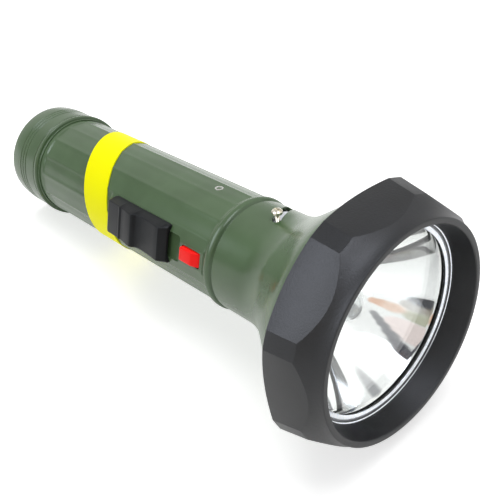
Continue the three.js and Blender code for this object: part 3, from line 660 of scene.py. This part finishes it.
def slanted_slot():
    """A flat upright face, pushed out step by step back along the neck and round it."""
    start_afresh()
    bpy.ops.mesh.primitive_plane_add(size=1, location=(0, 0, 0))
    slot = named("slot_band")
    slot.scale = (SLOT_WIDTH * MM, 6 * MM, 1)
    slot.rotation_euler = (math.pi / 2, 0, 0)
    slot.location = (SLOT_FRONT * MM, 0, 20 * MM)
    bpy.ops.object.transform_apply(location=True, rotation=True, scale=True)
    bpy.ops.object.mode_set(mode="EDIT")
    bpy.ops.mesh.select_all(action="SELECT")
    steps = 14
    back = (SLOT_REAR - SLOT_FRONT) / steps * MM
    turn = math.radians(SLOT_REAR_ANGLE - SLOT_FRONT_ANGLE) / steps
    for _ in range(steps):
        bpy.ops.mesh.extrude_region_move(TRANSFORM_OT_translate={"value": (back, 0, 0)})
        bpy.ops.transform.rotate(value=-turn, orient_axis="X", center_override=(0, 0, 0))
    tidy_mesh(slot)
    return rolled(slot, SLOT_FRONT_ANGLE)


def make_tail_cap():
    """A cup with three ring grooves, a rolled bead near its mouth and a thin turned-in lip."""
    profile = [(0, 0), (0, 19.3), (0.06, 19.6), (0.23, 19.86), (0.5, 20.04), (0.9, 20.12), (2.4, 20.32)]
    profile += [(4.2, 20.44), (6.4, 20.5)]
    for middle in (7.3, 9.1, 10.9):
        profile += [(middle - 0.4, 20.5), (middle - 0.15, 20.2), (middle + 0.15, 20.2), (middle + 0.4, 20.5)]
    profile += [
        (16.9, 20.5),
        (17.2, 20.12),
        (17.5, 20.12),
        (17.75, 20.55),
        (18.2, 20.72),
        (18.7, 20.76),
        (19.1, 20.7),
        (19.35, 20.45),
        (19.45, 20.1),
        (19.5, 19.66),
        (19.8, 19.6),
        (19.95, 19.7),
        (20.15, 19.76),
        (20.35, 19.7),
        (20.45, 19.56),
        (20.45, 19.45),
        (18.1, 19.45),
        (18.1, 18.75),
        (2.4, 18.75),
        (2.4, 0),
    ]
    cap = turned("tail_cap_pressed", profile)
    laid(cap, paint, "tail_cap", "tail_cap", smooth=32)


def make_bezel():
    """A turned ring with a hollowed front, cut by eight wide facets with a narrow one between each two."""
    profile = [
        (166.5, 34.2),
        (172.3, 44.35),
        (179.6, 39.4),
        (180.9, 38.4),
        (182.3, 37.3),
        (183.7, 36.3),
        (185.0, 35.55),
        (186.3, 35.12),
        (186.75, 35.0),
        (186.9, 34.75),
        (186.9, 33.3),
        (186.6, 33.0),
        (179.6, 31.5),
        (179.5, 31.4),
        (179.5, 34.2),
        (166.5, 34.2),
    ]
    ring = turned("bezel_moulded", profile)
    start_afresh()
    back, front = 152.0, 190.0
    flat = math.cos(math.radians(18.5)) / math.cos(math.radians(22.5))
    bpy.ops.mesh.primitive_cone_add(
        vertices=8,
        radius1=(FACET_CORNER + FACET_TAPER * (FACET_PLACE - back)) * flat * MM,
        radius2=(FACET_CORNER + FACET_TAPER * (FACET_PLACE - front)) * flat * MM,
        depth=(front - back) * MM,
        location=((back + front) / 2 * MM, 0, 0),
        rotation=(0, math.pi / 2, 0),
    )
    facets = named("facets")
    bpy.ops.object.transform_apply(location=True, rotation=True, scale=True)
    rolled(facets, 22.5)
    pick(facets, lambda a, b: abs(a.x - b.x) > 20, "EDGE")
    bpy.ops.mesh.bevel(offset_type="PERCENT", offset_pct=NARROW_FACET, segments=1, affect="EDGES")
    leave_edit()
    combined(ring, facets, "INTERSECT")
    bevelled(ring, 0.3, 2, 13)
    laid(ring, black, "bezel", "bezel", smooth=30)


def make_lens_parts():
    """The glass, the bright ring that clips it in, and the dark seal behind it."""
    half = [(176.6, 0), (176.6, 33.2), (176.9, 33.5), (178.0, 33.5), (178.3, 33.2), (178.3, 0)]
    lens = turned("lens_disc", half)
    laid(lens, lens_glass, "lens_travel", "lens")
    ring = turned(
        "lens_clip_ring",
        [
            (178.45, 33.4),
            (179.2, 33.4),
            (179.2, 31.5),
            (179.0, 31.2),
            (179.15, 30.9),
            (179.1, 30.1),
            (178.9, 29.5),
            (178.6, 29.05),
            (178.45, 29.0),
            (178.45, 33.4),
        ],
    )
    laid(ring, ring_metal, "lens_travel", "lens_ring")
    start, outer, inner = 175.75, 33.0, 30.5
    section = [(176.2, outer), (176.3, outer - 0.2), (176.3, inner + 0.2), (176.2, inner)]
    gasket = turned("lens_seal", [(start, outer), *section, (start, inner), (start, outer)])
    laid(gasket, rubber, "lens_travel", "lens_gasket")


def make_reflector():
    """The bowl: a paraboloid with a thin raised lip and a flat flange."""
    hole, rim, depth, front = 6.4, 29.7, 22.46, 175.4
    bowl = []
    for step in range(41):
        radius = hole + (rim - hole) * step / 40
        bowl.append((front - depth * (rim**2 - radius**2) / (rim**2 - hole**2), radius))
    back = [(place - 0.8, radius + 0.3) for place, radius in bowl[::4]]
    lip = [(front + 0.12, rim + 0.12), (front + 0.12, rim + 0.4), (front, rim + 0.55)]
    flange = [(front - 0.8, rim + 0.8), (front - 0.8, 33.0), (front, 33.0)]
    profile = [*back[:-1], *flange, *reversed(lip), *reversed(bowl), back[0]]
    laid(turned("reflector_bowl", profile), mirror, "torch_body", "reflector", smooth=40)


def make_bulb():
    """The glass: a neck and a globe, open at the bottom, where the base holds it."""
    base = 140.1 + 9.6 + 0.3
    globe, round_radius, wall = base + 12.4, 5.6, 0.45
    skin = []
    for step in range(14):
        turn = math.radians(128 * step / 13)
        skin.append((math.cos(turn), math.sin(turn)))
    outside = [(globe + round_radius * x, round_radius * y) for x, y in skin]
    inside = [(globe + (round_radius - wall) * x, (round_radius - wall) * y) for x, y in skin]
    outside += [(base + 5, 4.25), (base + 1, 4.2), (base, 4.0)]
    inside += [(base + 5, 3.8), (base + 1, 3.75), (base, 3.6)]
    bulb = turned("bulb_globe", [*outside, *reversed(inside)], 64)
    laid(bulb, bulb_clear, "bulb_carrier", "bulb_glass")


def make_focus_parts():
    """The sleeve that shows through the slot, and the screw that it is turned by."""
    sleeve = turned(
        "focus_sleeve_tube",
        [
            (131.0, 16.6),
            (131.0, 17.5),
            (132.2, 17.5),
            (132.4, 18.2),
            (149.2, 18.2),
            (149.4, 18.0),
            (149.4, 16.6),
            (131.0, 16.6),
        ],
    )
    laid(sleeve, satin_nickel, "focus_ring", "focus_sleeve")
    screw = [(17.35, 0), (17.35, 0.7)]
    for i in range(8):
        screw += [(17.5 + 0.42 * i, 0.8), (17.7 + 0.42 * i, 0.62)]
    screw += [(20.9, 0.8), (20.9, 1.6), (21.1, 1.75), (21.8, 1.75), (22.2, 1.45), (22.45, 0.95), (22.5, 0)]
    screw = turned("focus_screw_turned", screw, 48, upright=True)
    groove = block("screw_groove", (-3, -0.28, 22.05), (3, 0.28, 23))
    combined(screw, groove, "DIFFERENCE")
    shift(screw, lambda spot: True, (SCREW_PLACE, 0, 0))
    laid(rolled(screw, SCREW_ANGLE), pale_brass, "focus_ring", "focus_screw")


def make_eyelet():
    """The hollow rivet on top of the barrel."""
    profile = [
        (16.9, 1.0),
        (18.8, 1.0),
        (18.8, 1.4),
        (18.92, 1.5),
        (19.08, 1.46),
        (19.2, 1.28),
        (19.22, 1.1),
        (19.12, 0.92),
        (18.9, 0.82),
        (16.9, 0.8),
        (16.9, 1.0),
    ]
    rivet = turned("eyelet_rivet", profile, 48, upright=True)
    shift(rivet, lambda spot: True, (107.6, 0, 0))
    laid(rolled(rivet, EYELET_ANGLE), nickel, "torch_body", "eyelet")


def pad_room(name, low, high, lift):
    """The space of the switch pad, a little higher: a flat top with a gentle slope on either side."""
    room = block(name, (low, -9, 10), (high, 9, BARREL_RADIUS + lift))
    cut_at(room, [(0, -PAD_CREASE, 0), (0, PAD_CREASE, 0)], (0, 1, 0))
    drop = (9 - PAD_CREASE) * math.tan(math.radians(PAD_SLOPE))
    shift(room, lambda spot: spot.z > 15 and abs(spot.y) > 8, (0, 0, -drop))
    return rolled(room, SWITCH_ANGLE)


def make_knob():
    """The slide switch: a block whose top is raised and lowered row by row, with softened edges."""
    rear, front, foot, top, tallest = 70.63, 103.0, 6.9, 5.9, 24.5
    # At each place: the height from the torch's axis, and the share of the full width.
    rows = {
        rear: (20.9, 0.84),
        71.05: (21.5, 0.9),
        72.3: (22.2, 1),
        78.9: (22.5, 1),
        79.25: (22.85, 1),
        79.85: (22.85, 1),
        80.3: (22.55, 1),
        83.0: (23.1, 1),
        85.6: (23.55, 1),
        87.2: (23.65, 1),
        87.8: (23.3, 1),
        88.3: (22.2, 1),
        89.4: (21.85, 1),
        92.0: (21.75, 1),
        95.0: (21.95, 1),
        98.0: (22.3, 1),
        101.3: (22.75, 1),
        front: (20.0, 0.98),
    }
    knob = block("slide_switch_knob", (rear, -foot, 17.4), (front, foot, tallest))
    cut_at(knob, [(place, 0, 0) for place in list(rows)[1:-1]], (1, 0, 0))
    cut_at(knob, [(0, 0, BARREL_RADIUS)], (0, 0, 1))
    for place, (height, share) in rows.items():
        here = lambda spot: abs(spot.x - place) < 0.05
        widen(knob, lambda spot: here(spot) and spot.z > 22, (1, top / foot, 1))
        widen(knob, here, (1, share, 1))
        shift(knob, lambda spot: here(spot) and spot.z > tallest - 0.1, (0, 0, height - tallest))
    bevelled(knob, 0.32, 3, 24)
    keel = block("switch_keel", (75.4, -4.1, 18.75), (101.3, 4.2, 20.2))
    knob = combined(rolled(knob, SWITCH_ANGLE), pad_room("pad_room", 60, 115, 0.12), "DIFFERENCE")
    combined(knob, rolled(keel, SWITCH_ANGLE), "UNION")
    tidy_mesh(knob)
    laid(knob, charcoal, "slide_switch", "slide_knob", smooth=36)


def make_button():
    """The push button: a block with a ridge across it and a slope in front of that."""
    button = block("push_button_cap", (110.2, -2.5, 17.5), (118.8, 2.5, 20.7))
    cut_at(button, [(116.2, 0, 0)], (1, 0, 0))
    shift(button, lambda spot: spot.z > 20 and spot.x > 118, (0, 0, -2.6 * math.tan(math.radians(28))))
    widen(button, lambda spot: spot.z > 19, (1, 0.95, 1))
    bevelled(button, 0.5, 4, 12)
    laid(rolled(button, SWITCH_ANGLE), red, "red_button", "push_button", smooth=40)


def make_spring():
    """The tail spring: one wire along a conical helix."""
    start_afresh()
    bpy.ops.curve.primitive_nurbs_path_add()
    wire = bpy.context.object
    path = wire.data
    path.splines.clear()
    turns, steps = 5, 24
    start, length, wide, narrow, wire_radius = 4.2, 11.5, 13, 7, 0.7
    line = path.splines.new("POLY")
    line.points.add(turns * steps)
    for i, point in enumerate(line.points):
        share = i / (turns * steps)
        turn = math.radians(360 * turns * share)
        radius = wide - (wide - narrow) * share
        spot = Vector((start + length * share, -radius * math.sin(turn), radius * math.cos(turn)))
        point.co = (*(LYING @ (spot * MM)), 1)
    path.dimensions = "3D"
    path.bevel_depth = wire_radius * MM
    path.bevel_resolution = 2
    path.use_fill_caps = True
    bpy.ops.object.convert(target="MESH")
    wire = named("tail_spring_wire")
    tidy_mesh(wire)
    work_on(wire)
    bpy.ops.object.shade_smooth()
    dressed(wire, nickel, "cap_travel", "tail_spring")


def dress_inner_nodes():
    """The pieces that only show when the torch comes apart keep their solids and get their finish."""
    finishes = {
        "contact_strip": brass,
        "button_leaf": brass,
        "slide_clip": brass,
        "bulb_holder": insulator,
        "bulb_contact": brass,
        "bulb_base": brass,
        "front_cell_can": can_metal,
        "front_cell_cap": nickel,
        "rear_cell_can": can_metal,
        "rear_cell_cap": nickel,
        "tail_plate": nickel,
    }
    for node, finish in finishes.items():
        slots = frame["nodes"][node].material_slots
        for slot in slots:
            slot.material = finish.material


make_barrel()
make_band()
make_head_shell()
make_tail_cap()
make_bezel()
make_lens_parts()
make_reflector()
make_bulb()
make_focus_parts()
make_eyelet()
make_knob()
make_button()
make_spring()
dress_inner_nodes()


# ---- Stage, light and camera ----


def seen_directly(tree, polish_share=1.0):
    """1 for rays from the camera, a share for those that glass or polish sends on, 0 for the light itself."""
    kinds = ("Is Camera Ray", "Is Glossy Ray", "Is Transmission Ray")
    camera, glossy, through = (tree.node("ShaderNodeLightPath", output=kind) for kind in kinds)
    return camera | (glossy | through) * polish_share


def make_floor():
    start_afresh()
    bpy.ops.mesh.primitive_plane_add(size=8, location=(0, 0, 0))
    floor = named("studio_floor")
    look = Finish("studio_floor", tint("f4f4f4"), 0.9)
    strength = seen_directly(look, FLOOR_IN_POLISH) * FLOOR_GLOW
    glow = look.node("ShaderNodeEmission", inputs={"Color": (1.0, 1.0, 1.0), "Strength": strength})
    both = look.node("ShaderNodeAddShader", inputs=[Wire(look, look.shader.outputs[0]), glow])
    look.plug(look.nodes["Material Output"].inputs[0], both)
    floor.data.materials.append(look.material)


def make_world():
    """Even light on the torch, in a white room whose patches show in polish and glass."""
    world = bpy.data.worlds.new("studio")
    bpy.context.scene.world = world
    room = NodeTree(world)
    light = room.nodes["Background"]
    room.plug(light.inputs["Color"], (1.0, 1.0, 1.0))
    room.plug(light.inputs["Strength"], WORLD_LIGHT)
    camera = room.node("ShaderNodeLightPath", output="Is Camera Ray")
    towards = room.node("ShaderNodeTexCoord", output="Generated")
    shade = (1.0, 1.0, 1.0)
    for spot, full, faded, color in ROOM_PATCHES:
        near = room.vector("DOT_PRODUCT", towards, tuple(Vector(spot).normalized()), output=1)
        share = near.between(math.cos(math.radians(faded)), math.cos(math.radians(full)))
        shade = room.mix(share * (1 - camera), shade, color)
    white = room.node("ShaderNodeBackground", inputs={"Color": shade, "Strength": 1.0})
    inputs = [seen_directly(room), Wire(room, light.outputs[0]), white]
    mixed = room.node("ShaderNodeMixShader", inputs=inputs)
    room.plug(room.nodes["World Output"].inputs[0], mixed)


def softbox(name, where, size, power):
    """A soft light; what polish shows of it comes from the room's patches."""
    lamp = bpy.data.lights.new(name, "AREA")
    lamp.shape = "SQUARE"
    lamp.size = size
    lamp.energy = power
    holder = bpy.data.objects.new(name, lamp)
    bpy.context.scene.collection.objects.link(holder)
    holder.visible_glossy = False
    holder.location = where
    holder.rotation_euler = (Vector((0, 0, 0.03)) - Vector(where)).to_track_quat("-Z", "Y").to_euler()


def make_camera():
    """The photograph's view, as measured in the torch's own frame."""
    right = Vector((0.68110, 0.72259, -0.11821))
    down = Vector((0.35102, -0.46393, -0.81336))
    ahead = Vector((-0.64256, 0.51248, -0.56963))
    turn = Matrix((right, -down, -ahead)).transposed().to_4x4()
    camera = bpy.data.cameras.new("photo_camera")
    camera.lens = 57.6
    camera.sensor_width = 36
    camera.clip_start = 0.01
    holder = bpy.data.objects.new("photo_camera", camera)
    bpy.context.scene.collection.objects.link(holder)
    holder.matrix_world = LYING @ Matrix.Translation(Vector((291.7, -135.0, 151.7)) * MM) @ turn
    bpy.context.scene.camera = holder


WORLD_LIGHT = 0.3
FLOOR_GLOW = 0.62
FLOOR_IN_POLISH = 0.75

# Each patch: its direction, the angle within which it is full, the angle at which it has faded, and its colour.
ROOM_PATCHES = (
    ((-0.6, 0.8, 0.2), 14, 40, (0.78, 0.78, 0.78)),
    ((-0.62, -0.66, 0.42), 14, 44, (0.42, 0.43, 0.42)),
    ((-0.3, 0.1, 0.95), 18, 36, (0.7, 0.7, 0.7)),
    ((-0.37, -0.68, 0.62), 16, 27, (4.2, 4.4, 4.9)),
    ((0.42, 0.08, 0.9), 16, 25, (5.0, 5.2, 5.8)),
    ((0.55, 0.55, 0.63), 20, 35, (1.4, 1.4, 1.4)),
    ((0.37, 0.58, 0.72), 3, 9, (0.6, 0.6, 0.62)),
    ((0.18, 0.96, 0.2), 5, 9, (0.22, 0.24, 0.3)),
    ((0.61, -0.54, 0.58), 9, 12, (1.0, 0.86, 0.84)),
    ((0.58, -0.73, 0.35), 5, 8, (0.55, 0.55, 0.42)),
    ((0.6, -0.78, 0.16), 5, 8, (0.4, 0.36, 0.3)),
    ((0.55, -0.83, 0.05), 5, 9, (0.1, 0.1, 0.11)),
    ((0.84, -0.52, 0.17), 2, 5, (0.75, 0.42, 0.26)),
    ((0.79, -0.58, 0.21), 2.5, 6, (0.75, 0.42, 0.26)),
    ((0.73, -0.64, 0.26), 3, 7, (0.85, 0.6, 0.46)),
    ((0.81, -0.42, 0.42), 1.5, 4, (0.3, 0.3, 0.32)),
    ((0.77, -0.41, 0.49), 2, 4.5, (0.25, 0.25, 0.27)),
    ((0.72, -0.39, 0.57), 2, 5, (0.2, 0.2, 0.22)),
    ((0.66, -0.36, 0.66), 2.5, 5.5, (0.16, 0.16, 0.18)),
    ((0.6, -0.31, 0.74), 2.5, 5.5, (0.1, 0.1, 0.12)),
    ((0.54, -0.26, 0.8), 3.5, 6, (0.08, 0.08, 0.1)),
    ((1.0, -0.1, 0.35), 8, 12, (0.3, 0.3, 0.3)),
)

make_floor()
make_world()
softbox("overhead_softbox", (-0.15, 0.2, 1.2), 1.1, 10.0)
softbox("side_softbox", (-0.35, -1.1, 0.55), 0.7, 1.8)
make_camera()
bpy.context.scene.view_settings.view_transform = "Standard"
